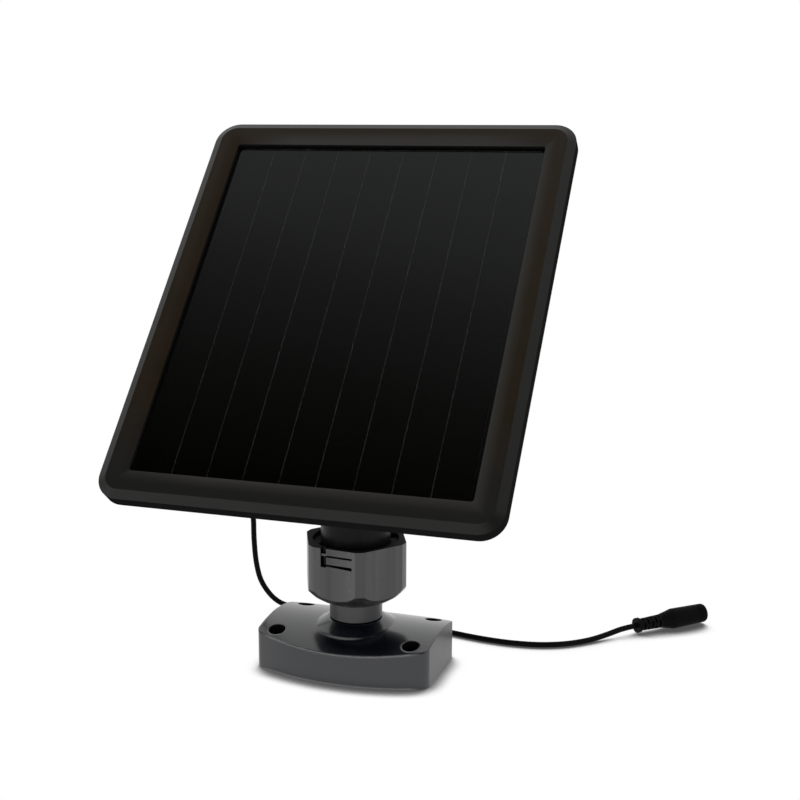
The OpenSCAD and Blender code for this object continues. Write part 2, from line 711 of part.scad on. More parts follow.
module inner_leads() color([0.6, 0.08, 0.06]) on_panel() {
    lead_z = tray_floor + standoff_h + pcb_t + lead_d / 2;
    for (s = [-1, 1]) translate([gland_x, gland_y + s * 0.8 * lead_d, 0])
        translate([gland_nut_d / 2 - 3, 0, lead_z]) rotate([0, 90, 0])
            cylinder(d = lead_d, h = pcb_reach + 6 - gland_nut_d / 2);
}

// Gland on the panel's back: flange, tapered nose and the nut inside
module cable_gland() color(rubber_black) on_panel() translate([gland_x, gland_y, 0]) rotate_extrude() polygon([
    [cord_d / 2 + slip_gap, tray_back - gland_flange_t - gland_nose_l],
    [cord_d / 2 + 0.9, tray_back - gland_flange_t - gland_nose_l],
    [gland_body_d / 2 + 0.6, tray_back - gland_flange_t],
    [gland_flange_d / 2, tray_back - gland_flange_t], [gland_flange_d / 2, tray_back],
    [gland_body_d / 2, tray_back], [gland_body_d / 2, tray_floor],
    [gland_nut_d / 2, tray_floor], [gland_nut_d / 2, tray_floor + gland_nut_t],
    [cord_d / 2 + slip_gap, tray_floor + gland_nut_t]]);

module output_cord() color(rubber_black) tube(curve(cord_points, cord_steps), cord_d / 2, cord_sides);

// In-line socket on the end of the lead, along +z here from its boot. Rows of slots let the boot bend
module connector_boot() color(rubber_black) at_socket() difference() {
    pitch = (boot_l - boot_flange_t) / (boot_rows + 0.5);
    rotate_extrude() polygon([
        [0, cord_end_gap], [boot_flange_d / 2, cord_end_gap], [boot_flange_d / 2, boot_flange_t],
        [boot_d / 2, boot_flange_t], [boot_end_d / 2, boot_l], [boot_core_d / 2, boot_l],
        [boot_core_d / 2, boot_l + boot_spigot_l], [0, boot_l + boot_spigot_l]]);
    for (row = [0:boot_rows - 1], k = [0:boot_row_slots - 1])
        rotate([0, 0, 360 * (k + row % 2 / 2) / boot_row_slots])
            translate([boot_d / 2 - boot_slot_depth, -boot_slot_w / 2, boot_flange_t + (row + 0.6) * pitch])
                cube([boot_d, boot_slot_w, boot_slot_t]);
}

module connector_body() color(rubber_black) at_socket() difference() {
    conn_end = boot_l + conn_l;
    rotate_extrude() polygon([
        [0, boot_l], [boot_end_d / 2, boot_l], [conn_d / 2 - 0.6, boot_l + 0.65 * flare_l],
        [conn_d / 2 - 0.15, boot_l + 0.86 * flare_l], [conn_d / 2, boot_l + flare_l],
        [conn_end_d / 2, conn_end - conn_edge], [conn_end_d / 2 - 0.3 * conn_edge, conn_end - 0.35 * conn_edge],
        [conn_end_d / 2 - conn_edge, conn_end], [0, conn_end]]);
    for (i = [1:conn_rings]) translate([0, 0, conn_end - conn_edge - i * conn_ring_pitch]) difference() {
        bar(conn_d, 0, conn_ring_w);
        bar(conn_end_d / 2 - conn_ring_depth, -1, conn_ring_w + 1);
    }
    bar(boot_core_d / 2 + slip_gap / 2, boot_l - 1, boot_l + boot_spigot_l);
    bar(conn_bore_d / 2 + sleeve_t, conn_end - conn_bore_l - contact_l, conn_end - 2);
    bar(conn_bore_d / 2, conn_end - 3, conn_end + 1);
}

module connector_pin() color(steel) at_socket() {
    seat = boot_l + conn_l - conn_bore_l - contact_l;
    bar(conn_bore_d / 2 - 0.8, seat, seat + contact_l - 1);
    bar(pin_d / 2, seat, boot_l + conn_l - 1);
}

module connector_sleeve() color(steel) at_socket() difference() {
    bar(conn_bore_d / 2 + sleeve_t, boot_l + conn_l - conn_bore_l, boot_l + conn_l - 2);
    bar(conn_bore_d / 2, 0, boot_l + 2 * conn_l);
}

base_plate();
clamp_socket();
neck_screw();
neck_washer();
clamp_nut();
support_post();
panel_bracket();
bracket_screws();
tilt_bolt();
tilt_nut();
tilt_washers();
back_housing();
front_bezel();
housing_screws();
glass_seal();
solar_glass();
cell_strips();
bus_ribbons();
backing_board();
junction_board();
blocking_diode();
inner_leads();
cable_gland();
output_cord();
connector_boot();
connector_body();
connector_pin();
connector_sleeve();
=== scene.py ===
# %% [markdown]
# # A small solar panel on a tilting bracket
# The solids come from the CAD model and are already in place, in metres. This lesson dresses them: it gives
# each piece its finish, lays the output lead, rounds the moulded edges and sets the camera, the floor and the
# light. Everything stays in the CAD model's own frame, so nothing has to be fitted by eye.

# %% Load the solids
import json
import math
import bpy
from mathutils import Matrix, Vector


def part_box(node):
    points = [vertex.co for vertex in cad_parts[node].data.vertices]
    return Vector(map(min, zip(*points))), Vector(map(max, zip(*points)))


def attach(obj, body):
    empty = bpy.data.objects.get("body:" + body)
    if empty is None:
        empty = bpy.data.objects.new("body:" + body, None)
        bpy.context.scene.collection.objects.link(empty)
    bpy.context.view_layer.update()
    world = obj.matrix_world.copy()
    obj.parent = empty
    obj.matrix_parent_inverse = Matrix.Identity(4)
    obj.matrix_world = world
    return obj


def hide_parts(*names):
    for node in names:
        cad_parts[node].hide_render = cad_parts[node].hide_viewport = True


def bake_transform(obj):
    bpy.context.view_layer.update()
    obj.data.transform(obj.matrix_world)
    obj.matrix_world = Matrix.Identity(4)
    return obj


MM = 0.001
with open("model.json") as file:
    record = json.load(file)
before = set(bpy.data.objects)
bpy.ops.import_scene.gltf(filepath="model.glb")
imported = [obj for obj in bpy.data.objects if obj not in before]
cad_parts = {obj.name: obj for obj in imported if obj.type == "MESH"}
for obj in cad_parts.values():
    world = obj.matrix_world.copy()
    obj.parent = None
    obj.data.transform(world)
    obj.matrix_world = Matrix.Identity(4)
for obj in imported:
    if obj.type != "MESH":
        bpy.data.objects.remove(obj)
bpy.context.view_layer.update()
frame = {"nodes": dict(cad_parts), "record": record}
scene = bpy.context.scene
nodes = frame["nodes"]
record = frame["record"]
body_of_node = {node: body for body, members in record["behaviour"]["bodies"].items() for node in members}
slot_of_node = {row["node"]: row["material_slot"] for row in record["subparts"]}

# %% [markdown]
# ## The camera
# The photograph was taken with a longish lens from a little above the panel's middle. The corners of the
# frame and of the base fix such a view: a fit to them gave the place, the turn and the lens used here.
# Setting the camera first means that every later render can be held against the photograph.

# %% Camera
LENS = 59.81
SENSOR = 36
CAMERA_PLACE = (0.22329, -0.60595, 0.26520)
YAW, PITCH, ROLL = (math.radians(angle) for angle in (18.285, 11.230, 0.279))

camera_data = bpy.data.cameras.new("photo_camera")
camera_data.lens = LENS
camera_data.sensor_width = SENSOR
camera = bpy.data.objects.new("photo_camera", camera_data)
scene.collection.objects.link(camera)
camera.matrix_world = (
    Matrix.Translation(CAMERA_PLACE)
    @ Matrix.Rotation(YAW, 4, "Z")
    @ Matrix.Rotation(math.pi / 2 - PITCH, 4, "X")
    @ Matrix.Rotation(ROLL, 4, "Z")
)
scene.camera = camera
scene.view_settings.view_transform = "Standard"
print("camera at", CAMERA_PLACE, "lens", LENS)

# %% [markdown]
# ## One small class for shader sums
# A shader is a web of nodes. Writing each Math node by hand hides the idea behind it, so a Field stands for
# one node's output, and sums and products of Fields add the Math nodes. Its make method adds any other node.

# %% Shader sums
class Field:
    """One output of a shader node, to be used in sums as a number is."""

    def __init__(self, socket):
        self.socket = socket
        self.tree = socket.id_data

    @staticmethod
    def make(tree, kind, settings=None, inputs=None, output=0):
        """Adds a node of that kind. Settings are set first, then the inputs get their values or links."""
        node = tree.nodes.new(kind)
        for key, value in (settings or {}).items():
            if key == "stops":
                Field.set_stops(node.color_ramp.elements, value)
            else:
                setattr(node, key, value)
        for key, value in (inputs or {}).items():
            if isinstance(value, Field):
                tree.links.new(value.socket, node.inputs[key])
            else:
                node.inputs[key].default_value = value
        return Field(node.outputs[output]) if node.outputs else node

    @staticmethod
    def set_stops(ramp, stops):
        """Gives a colour ramp its greys."""
        while len(ramp) < len(stops):
            ramp.new(1.0)
        for stop, (place, tone) in zip(ramp, stops):
            stop.position = place
            stop.color = (tone, tone, tone, 1)

    def math(self, operation, other=0.0, clamp=False):
        """A Math node on this Field and on a number or another Field."""
        settings = {"operation": operation, "use_clamp": clamp}
        return Field.make(self.tree, "ShaderNodeMath", settings, {0: self, 1: other})

    def dot(self, way):
        """How far this vector reaches along a way."""
        inputs = {0: self, 1: way}
        return Field.make(self.tree, "ShaderNodeVectorMath", {"operation": "DOT_PRODUCT"}, inputs, "Value")

    def axis(self, name):
        """The X, Y or Z of this vector."""
        return Field.make(self.tree, "ShaderNodeSeparateXYZ", None, {"Vector": self}, name)

    def ramp(self, stops):
        """A grey for each value, by stops that are a value and its grey."""
        return Field.make(self.tree, "ShaderNodeValToRGB", {"stops": stops}, {0: self})

    def __add__(self, other):
        return self.math("ADD", other)

    def __sub__(self, other):
        return self.math("SUBTRACT", other)

    def __rsub__(self, other):
        return Field.make(self.tree, "ShaderNodeMath", {"operation": "SUBTRACT"}, {0: other, 1: self})

    def __mul__(self, other):
        return self.math("MULTIPLY", other)

    def __abs__(self):
        return self.math("ABSOLUTE")

    __radd__ = __add__
    __rmul__ = __mul__


print("shader sums ready")

# %% [markdown]
# ## Helpers for materials
# Every finish starts from an empty material and the Object coordinates, which ride along when a piece moves.
# Patterns are noise, since real skins are uneven without repeating, and a photograph laid on would carry its
# own light. The helpers are small, so that each finish below reads as a recipe.

# %% Material helpers
def new_finish(name):
    """An empty material, and the Object coordinates in its node tree."""
    finish = bpy.data.materials.new(name)
    finish.use_nodes = True
    finish.node_tree.nodes.clear()
    return finish, Field.make(finish.node_tree, "ShaderNodeTexCoord", output="Object")


def stretched(place, scale):
    """Coordinates that draw a pattern out along the axes with a factor below 1."""
    return Field.make(place.tree, "ShaderNodeMapping", None, {"Vector": place, "Scale": scale})


def noise(place, per_metre, detail=2.0):
    """Soft random patches, this many to the metre."""
    inputs = {"Vector": place, "Scale": per_metre, "Detail": detail}
    return Field.make(place.tree, "ShaderNodeTexNoise", None, inputs)


def tint(amount, first, second):
    """A colour between two others, the first of which may be a Field."""
    start = first if isinstance(first, Field) else (*first, 1)
    inputs = {0: amount, 6: start, 7: (*second, 1)}
    return Field.make(amount.tree, "ShaderNodeMix", {"data_type": "RGBA"}, inputs, 2)


def bumps(height, distance, strength, start=None):
    """A normal with bumps this high, laid over the true normal or over another one."""
    inputs = {"Strength": strength, "Distance": distance, "Height": height}
    if start:
        inputs["Normal"] = start
    return Field.make(height.tree, "ShaderNodeBump", None, inputs)


def close(shader):
    """Puts a shader on its material's surface."""
    Field.make(shader.tree, "ShaderNodeOutputMaterial", None, {"Surface": shader})


def skin(place, inputs):
    """Puts a Principled shader with these inputs on the surface."""
    close(Field.make(place.tree, "ShaderNodeBsdfPrincipled", None, inputs))


finishes = {}
print("material helpers ready")

# %% [markdown]
# ## Moulded plastics
# Most pieces are moulded: their colour drifts a little from place to place, their gloss is uneven, and a fine
# grain breaks up the reflections. One helper makes them all from two tones, a roughness with some drift, and
# a grain as bump.
#
# Some finishes also get lifts: a colour laid over by a rule. Most lifts are painted light: a painted
# highlight or sheen where an edge or a face catches the light. A rule works with distances on the piece
# itself, so the marks stay in place when the piece moves.

# %% Moulded plastic
PATCH_SHARE = 0.8
FLECK_SHARE = 0.2
FLECK_GLOSS = 0.6
FLECK_DETAIL = 3.0
EDGE_SAMPLES = 8


def grey(level):
    """A colour without hue."""
    return (level, level, level)


def edge_normal(tree, radius):
    """The normal as it would be with all edges rounded to this radius."""
    return Field.make(tree, "ShaderNodeBevel", {"samples": EDGE_SAMPLES}, {"Radius": radius}, "Normal")


def fade(distance, reach):
    """1 where the distance is 0 or less, falling evenly to 0 at reach."""
    return (distance * (-1 / reach)).math("ADD", 1.0, clamp=True)


def moulded(name, tones, gloss, grain, patch=60, drawn=(1, 1, 1), contrast=1.0, shine=0.5, soft=0.0,
            lifts=()):
    """tones: two colours. gloss: roughness and its drift. grain: grains to the metre and their height in
    metres. patch: patches to the metre, which drawn stretches and contrast strengthens. shine: strength of
    the reflections. soft: a radius in metres over which edges blend. lifts: rules, each with its colour."""
    finish, place = new_finish(name)
    drift = noise(stretched(place, drawn), patch)
    fleck = noise(place, grain[0], FLECK_DETAIL)
    mixed = 0.5 + (drift - 0.5) * (PATCH_SHARE * contrast) + (fleck - 0.5) * FLECK_SHARE
    colour = tint(mixed, *tones)
    for rule, tone in lifts:
        colour = tint(rule(place), colour, tone)
    rough = gloss[0] + (drift - 0.5) * gloss[1] + (fleck - 0.5) * (gloss[1] * FLECK_GLOSS)
    start = edge_normal(place.tree, soft) if soft else None
    normal = bumps(fleck, distance=grain[1], strength=1.0, start=start)
    skin(place, {"Base Color": colour, "Roughness": rough, "Normal": normal, "Specular IOR Level": shine})
    return finish


print("moulded plastic ready")

# %% [markdown]
# ## The bracket's greys
# The base is dark grey plastic with a half-gloss skin. Its long edges get a painted highlight: a pale colour
# where they catch the light. The nut is streaked along its height, and its front flat has a painted sheen
# that grows towards its edges. The neck is a drier grey. The base's ends are a drier and paler grey than its
# top, as painted light from the side. Wells, bores, the nut's bore, top and slits, and the socket inside the
# nut
# are painted nearly black, as painted shade in the hollows. The edges for the highlight are found by a rule:
# an edge is where the rounded normal leaves the true one.

# %% Bracket finishes
HALF_GLOSS_GRAIN = (900, 5e-6)
DULL_GRAIN = (1600, 12e-6)
EDGE_HIGHLIGHT_RADIUS = 2.2 * MM
EDGE_HIGHLIGHT_GAIN = 4.0
EDGE_HIGHLIGHT_FROM = 26 * MM
EDGE_HIGHLIGHT_BLEND = 2 * MM
# Where the nut's front flat lies, and the painted sheen on it.
NUT_TURN = math.radians(-96)
NUT_FLAT = Vector((math.cos(NUT_TURN), math.sin(NUT_TURN), 0))
NUT_ALONG = Vector((-math.sin(NUT_TURN), math.cos(NUT_TURN), 0))
NUT_SHEEN_MIDDLE = -3 * MM
NUT_SHEEN_REACH = 16 * MM
NUT_SKIN = {
    "tones": ((0.016, 0.016, 0.017), (0.066, 0.066, 0.069)), "gloss": (0.24, 0.2), "grain": HALF_GLOSS_GRAIN,
    "patch": 190, "drawn": (1, 1, 0.03), "contrast": 2.6, "shine": 0.7,
}
DRY_SKIN = {"gloss": (0.34, 0.1), "grain": HALF_GLOSS_GRAIN}


def edge_highlight(place):
    """1 along the base's long edges, as a painted highlight where they catch the light."""
    true = Field.make(place.tree, "ShaderNodeNewGeometry", output="Normal")
    turned = 1 - edge_normal(place.tree, EDGE_HIGHLIGHT_RADIUS).dot(true)
    painted_highlight = turned.math("MULTIPLY", EDGE_HIGHLIGHT_GAIN, clamp=True)
    return painted_highlight * fade(EDGE_HIGHLIGHT_FROM - abs(place.axis("Y")), EDGE_HIGHLIGHT_BLEND)


def nut_flat_sheen(place):
    """0 near the middle of the nut's front flat, growing to 1 towards its edges."""
    return 1 - fade(abs(place.dot(NUT_ALONG) - NUT_SHEEN_MIDDLE), NUT_SHEEN_REACH)


# The pale lift along the base's long edges is a painted highlight.
finishes["grey_plastic"] = moulded(
    "bracket_grey", ((0.0006, 0.0022, 0.0058), (0.0016, 0.0040, 0.0090)), (0.18, 0.07), HALF_GLOSS_GRAIN,
    shine=0.84, soft=1.6 * MM, lifts=[(edge_highlight, (0.46, 0.46, 0.47))])
finishes["nut_grey"] = moulded("nut_grey", **NUT_SKIN)
# The nut's front flat gets a painted sheen: paler towards its edges, where it catches the light.
finishes["nut_painted_sheen"] = moulded("nut_painted_sheen", **NUT_SKIN, lifts=[(nut_flat_sheen, (0.105, 0.105, 0.110))])
finishes["neck_grey"] = moulded("neck_grey", ((0.060, 0.060, 0.062), (0.084, 0.084, 0.087)), **DRY_SKIN)
# The base's ends get a paler and drier grey than its top: painted light from the side.
finishes["base_end_painted_light"] = moulded(
    "base_end_painted_light", ((0.056, 0.056, 0.058), (0.078, 0.078, 0.081)), **DRY_SKIN, shine=0.32)
# Wells, bores, the nut's bore, top and slits, and the socket inside the nut are painted nearly black: painted
# shade in the hollows.
finishes["hollow_painted_shade"] = moulded("hollow_painted_shade", (grey(0.003), grey(0.006)), (0.7, 0.1), DULL_GRAIN, shine=0.05)
print("bracket finishes:", sorted(finishes))

# %% [markdown]
# ## The frame's blacks
# The frame is black plastic with a fine satin skin. Its face has a warm brown tone that fades to grey at the
# foot, and a painted sheen where it meets the window, most of all above it and never along the left side: a
# paler colour where the window's edge catches the light. One tone with noise would miss that, so the face
# gets three lifts. They measure along the panel, which leans back, and across it.

# %% Frame finishes
SATIN_GRAIN = (1600, 8e-6)
LEAN = math.radians(40.5)
FACE_WAY = Vector((0, -math.cos(LEAN), math.sin(LEAN)))
UP_WAY = Vector((0, math.sin(LEAN), math.cos(LEAN)))
WINDOW = Vector((165, 193.5)) * MM
glass_from, glass_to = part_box("solar_glass")
WINDOW_MIDDLE = (Vector(glass_from) + Vector(glass_to)) / 2
FOOT_REACH = 45 * MM
WINDOW_SHEEN_REACH = 6 * MM
WINDOW_SHEEN_FREE_LEFT = 40 * MM
TOP_SHEEN_REACH = 8 * MM
TOP_SHEEN_ENDS = 30 * MM


def up_panel(place):
    """Distance up the panel from its middle."""
    return place.dot(UP_WAY) - WINDOW_MIDDLE.dot(UP_WAY)


def at_foot(place):
    """1 below the panel's window, falling to 0 a quarter of the way up."""
    return fade(up_panel(place) + WINDOW.y / 2, FOOT_REACH)


def sheen_near_window(place):
    """1 at the window's edge, falling to 0 a little way out on the frame, but 0 along the left side."""
    across = place.axis("X")
    past_ends = abs(up_panel(place)) - WINDOW.y / 2
    past_sides = abs(across) - WINDOW.x / 2
    window_sheen = fade(past_ends.math("MAXIMUM", past_sides), WINDOW_SHEEN_REACH)
    return window_sheen * (1 - fade(across + WINDOW.x / 2, WINDOW_SHEEN_FREE_LEFT))


def sheen_over_window(place):
    """1 along the window's top edge, falling to 0 a little way above it and towards its corners."""
    above = up_panel(place) - WINDOW.y / 2
    to_corner = abs(place.axis("X")) - (WINDOW.x / 2 - TOP_SHEEN_ENDS)
    return fade(above, TOP_SHEEN_REACH) * above.math("GREATER_THAN", 0.0) * fade(to_corner, TOP_SHEEN_ENDS)


finishes["frame_plastic"] = moulded(
    "frame_black", ((0.0056, 0.0050, 0.0043), (0.0098, 0.0088, 0.0076)), (0.36, 0.08), SATIN_GRAIN,
    shine=0.25)
# Near the window and above it, the face gets a painted sheen where the window's edge catches the light.
finishes["frame_face"] = moulded(
    "frame_face", ((0.013, 0.0092, 0.001), (0.022, 0.0105, 0.004)), (0.40, 0.08), SATIN_GRAIN,
    shine=0.24, contrast=2.0,
    lifts=[(at_foot, (0.0120, 0.0114, 0.0108)), (sheen_near_window, (0.034, 0.032, 0.028)),
           (sheen_over_window, (0.052, 0.051, 0.049))])
finishes["frame_side"] = moulded("frame_side", (grey(0.010), grey(0.016)), (0.5, 0.08), DULL_GRAIN, shine=0.0)
print("frame finishes ready, window middle", tuple(round(x, 4) for x in WINDOW_MIDDLE))

# %% [markdown]
# ## Plastics and rubbers of the other pieces
# The tray, the post and the panel's bracket are satin black. The lead and its boot are soft black rubber that
# hardly shines, the in-line socket is as dull, and the small pieces in the panel have their usual colours.
# Each could have its own web of nodes, but they differ only in numbers, so all come from the same helper.

# %% Other plastics
finishes["black_plastic"] = moulded(
    "satin_black", (grey(0.004), grey(0.008)), (0.32, 0.08), (1400, 8e-6), shine=0.12)
finishes["cord_rubber"] = moulded(
    "lead_black", (grey(0.004), grey(0.008)), (0.40, 0.08), (1100, 6e-6), shine=0.03)
finishes["connector_plastic"] = moulded(
    "socket_black", ((0.004, 0.004, 0.0044), (0.008, 0.008, 0.0088)), (0.45, 0.10), (1300, 9e-6), shine=0.02)
finishes["washer_plastic"] = moulded(
    "waxy_washer", ((0.04, 0.04, 0.038), (0.06, 0.06, 0.057)), (0.5, 0.1), (700, 8e-6))
finishes["seal_rubber"] = moulded("foam_tape", (grey(0.008), grey(0.02)), (0.85, 0.1), (2400, 60e-6))
finishes["diode_plastic"] = moulded("diode_black", (grey(0.012), grey(0.02)), (0.45, 0.1), (1500, 8e-6))
finishes["lead_sheath"] = moulded(
    "lead_red", ((0.32, 0.012, 0.010), (0.42, 0.020, 0.016)), (0.35, 0.1), HALF_GLOSS_GRAIN)
print("plastics:", len(finishes))

# %% [markdown]
# ## Metals and the circuit board
# The screws are zinc plated: a pale metal with soft cloudy patches. The ribbons are tinned copper, drawn
# along their length, and the socket's contacts are nickel. The little circuit board in the tray wears green
# solder mask. A plain metal would look like chrome, so noise moves both tone and roughness.

# %% Metals and circuit board
def plated(name, tones, gloss, stretch=(1, 1, 1)):
    """A plated metal: two tones, roughness with drift, and patches that may be drawn out along the piece."""
    finish, place = new_finish(name)
    cloud = noise(stretched(place, stretch), per_metre=700, detail=4.0)
    skin(place, {
        "Base Color": tint(cloud, *tones), "Roughness": gloss[0] + (cloud - 0.5) * gloss[1], "Metallic": 1.0,
        "Normal": bumps(cloud, distance=6e-6, strength=0.6),
    })
    return finish


def solder_mask(tones):
    """Green lacquer over a woven board."""
    finish, place = new_finish("solder_mask")
    weave = noise(place, per_metre=500, detail=5.0)
    skin(place, {
        "Base Color": tint(weave, *tones), "Roughness": 0.35 + (weave - 0.5) * 0.2,
        "Normal": bumps(weave, distance=20e-6, strength=0.8),
    })
    return finish


finishes["steel"] = plated("zinc_plate", (grey(0.50), (0.70, 0.69, 0.66)), (0.34, 0.2))
finishes["tinned_ribbon"] = plated(
    "tinned_copper", ((0.62, 0.61, 0.58), (0.76, 0.75, 0.72)), (0.30, 0.2), stretch=(4, 0.3, 0.3))
finishes["contact_metal"] = plated("nickel_plate", ((0.66, 0.64, 0.58), (0.80, 0.78, 0.72)), (0.22, 0.1))
finishes["circuit_board"] = solder_mask(((0.012, 0.085, 0.035), (0.02, 0.12, 0.05)))
print("with metals and board:", len(finishes))

# %% [markdown]
# ## Cells
# The cells are a thin black film, so dark that the panel's tone comes almost only from what the glass in
# front mirrors. Each strip's edge was scribed by a laser, which leaves it pale beside the gap. The left end's
# edge was left whole. The sheet behind the strips is white and shows only in the gaps. Separate slivers for
# the scribed edges would be too thin to model well, so the film's colour changes there by its place.

# %% Cell film and backing sheet
STRIPS = 9
STRIP_GAP = 0.4 * MM
SCRIBE = 0.23 * MM
SCRIBE_TONE = 0.85
strips_from, strips_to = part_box("cell_strips")


def cell_film():
    """Black film with fine streaks along the strips, and pale where the laser scribed their edges."""
    finish, place = new_finish("cell_film")
    streak = noise(stretched(place, (1, 0.06, 0.06)), per_metre=900, detail=3.0)
    pitch = (strips_to[0] - strips_from[0] + STRIP_GAP) / STRIPS
    across = place.axis("X") - (strips_from[0] - STRIP_GAP / 2)
    from_gap = across.math("PINGPONG", pitch / 2)
    scribed = from_gap.math("LESS_THAN", SCRIBE) * across.math("GREATER_THAN", pitch / 2)
    skin(place, {
        "Base Color": 0.0010 + streak * 0.0006 + scribed * SCRIBE_TONE, "Roughness": 0.30 + streak * 0.1,
        "Specular IOR Level": 0.25,
    })
    return finish


def backing_sheet():
    """White sheet behind the strips, black beside them."""
    finish, place = new_finish("backing_sheet")
    fibre = noise(place, per_metre=500, detail=5.0)
    across = place.axis("X")
    behind = across.math("GREATER_THAN", strips_from[0]) * across.math("LESS_THAN", strips_to[0])
    skin(place, {"Base Color": (0.70 + fibre * 0.2) * behind + 0.004, "Roughness": 0.6 + fibre * 0.2})
    return finish


finishes["backing_board"] = backing_sheet()
finishes["cell_film"] = cell_film()
print("strips:", STRIPS, "from", round(strips_from[0], 4), "to", round(strips_to[0], 4))

# %% [markdown]
# ## Cover glass
# The glass is smoked: it lets a fifth of the light through, so that the gaps and their edges show as faint
# lines. A glass shader would need many bounces for that, so the sheet is a dark gloss surface with some
# alpha. Its inner face has to let all of the light pass, or it would be taken away twice.

# %% Smoked glass
GLASS_STOP = 0.80


def smoked_glass():
    """Dark gloss whose outer face takes or mirrors the share GLASS_STOP of the light."""
    finish, place = new_finish("smoked_glass")
    inside = Field.make(place.tree, "ShaderNodeNewGeometry", output="Backfacing")
    smear = noise(place, per_metre=14, detail=3.0)
    skin(place, {
        "Base Color": tint(smear, (0.0014, 0.0014, 0.0009), (0.0020, 0.0020, 0.0013)),
        "Roughness": 0.03 + smear * 0.03, "Alpha": GLASS_STOP * (1 - inside), "Specular IOR Level": 0.6,
        "Specular Tint": (0.94, 1.0, 0.98, 1),
    })
    return finish


finishes["cover_glass"] = smoked_glass()
print("finishes:", len(finishes))

# %% [markdown]
# ## The output lead
# A thin round flex leaves the gland at the panel's back, hangs down, lies on the table behind the base and
# ends in the in-line socket. It is drawn as one smooth line through the same points as the CAD lead, with a
# round section swept along it. Sweeping a curve is the quickest way to a clean tube, and the tube is then
# made a mesh.

# %% The lead's line
LEAD_WIDTH = 3 * MM
LEAD_STEPS = 4
LEAD_POINTS_MM = [
    (-72, -13.5, 144.6), (-72, -5.9, 138.1), (-72, 2, 131.2), (-72.3, 10, 123.2), (-73, 18, 113.5),
    (-73.8, 25.5, 102), (-74.6, 32, 89), (-75.4, 37.5, 74), (-76, 42, 57.5), (-77.4, 45.5, 44.5),
    (-78.2, 49.5, 30), (-77.4, 53.5, 18), (-73.8, 57, 9), (-69, 59.5, 3.6), (-63, 60.5, 1.6),
    (-54, 61, 1.5), (-42, 61, 1.5), (-28, 60.5, 1.5), (-14, 59.5, 1.5), (0, 58, 1.5),
    (13, 56, 1.5), (25, 53.2, 1.5), (36.5, 50.4, 1.5), (49, 48, 1.5), (60, 46.7, 1.5),
    (71, 46.5, 1.5), (85, 48.6, 1.5), (98, 54.4, 1.5), (109, 63.6, 1.6), (117, 71.6, 2.7),
    (123.6, 78.1, 4.2), (130.6, 84.6, 4.867),
]


def smooth_line(points, steps):
    """Points on the curve that passes through all the given ones, as the CAD lead does."""
    line = []
    for i in range(len(points) - 1):
        a, b, c, d = (points[min(max(k, 0), len(points) - 1)] for k in (i - 1, i, i + 1, i + 2))
        for step in range(steps):
            t = step / steps
            line.append(0.5 * (2 * b + (c - a) * t + (2 * a - 5 * b + 4 * c - d) * t * t
                               + (3 * b - a - 3 * c + d) * t ** 3))
    return line + [points[-1]]


lead_line = smooth_line([Vector(point) * MM for point in LEAD_POINTS_MM], LEAD_STEPS)
lead_length = sum((b - a).length for a, b in zip(lead_line, lead_line[1:]))
print("lead length mm:", round(lead_length / MM, 1))

# %% Sweep the lead
LEAD_ROUNDNESS = 4
LEAD_SMOOTH = math.radians(50)

bpy.ops.object.select_all(action="DESELECT")
bpy.ops.curve.primitive_nurbs_path_add()
lead = bpy.context.object
lead.name = "output_lead"
lead.data.splines.clear()
spline = lead.data.splines.new("POLY")
spline.points.add(len(lead_line) - 1)
for point, place in zip(spline.points, lead_line):
    point.co = (*place, 1)
lead.data.dimensions = "3D"
lead.data.bevel_depth = LEAD_WIDTH / 2
lead.data.bevel_resolution = LEAD_ROUNDNESS
lead.data.use_fill_caps = True
bpy.ops.object.convert(target="MESH")
bpy.ops.object.shade_smooth_by_angle(angle=LEAD_SMOOTH)
lead.data.materials.clear()
lead.data.materials.append(finishes["cord_rubber"])
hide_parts("output_cord")
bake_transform(lead)
print("lead faces:", len(lead.data.polygons))

# %% [markdown]
# ## Rounded edges on the moulded pieces
# No moulded edge is truly sharp: a small radius catches the light and shows the shape. Each visible solid is
# copied, its loose triangles are merged into whole faces, and a Bevel rounds every edge that turns by more
# than a small angle. Modelling them anew would risk a shape that differs from the CAD one, so the solid's own
# shape is kept and softened. Smooth shading would bend the light on a large flat face next to a small rounded
# one, so the normals are weighted by the size of the faces, which keeps flat faces flat.

# %% Round the edges
MERGE = 2e-6
FLAT = math.radians(0.5)
SHARP = math.radians(18)
SMOOTH = math.radians(35)
BEVEL_STEPS = 3
EDGE_RADII_MM = {
    "base_plate": 0.5, "clamp_socket": 0.4, "clamp_nut": 0.35, "support_post": 0.5, "panel_bracket": 0.6,
    "front_bezel": 0.7, "back_housing": 0.6, "cable_gland": 0.3, "connector_boot": 0.2, "connector_body": 0.3,
    "bracket_screws": 0.25, "housing_screws": 0.2, "tilt_bolt": 0.3, "tilt_nut": 0.25,
}


def merged_copy(node):
    """A copy of a solid whose triangles are joined into whole faces."""
    bpy.ops.object.select_all(action="DESELECT")
    piece = bpy.data.objects.new(node + "_moulded", nodes[node].data.copy())
    scene.collection.objects.link(piece)
    piece.select_set(True)
    bpy.context.view_layer.objects.active = piece
    bpy.ops.object.mode_set(mode="EDIT")
    bpy.ops.mesh.select_mode(type="EDGE")
    bpy.ops.mesh.select_all(action="SELECT")
    bpy.ops.mesh.remove_doubles(threshold=MERGE)
    bpy.ops.mesh.dissolve_limited(angle_limit=FLAT)
    bpy.ops.object.mode_set(mode="OBJECT")
    return piece


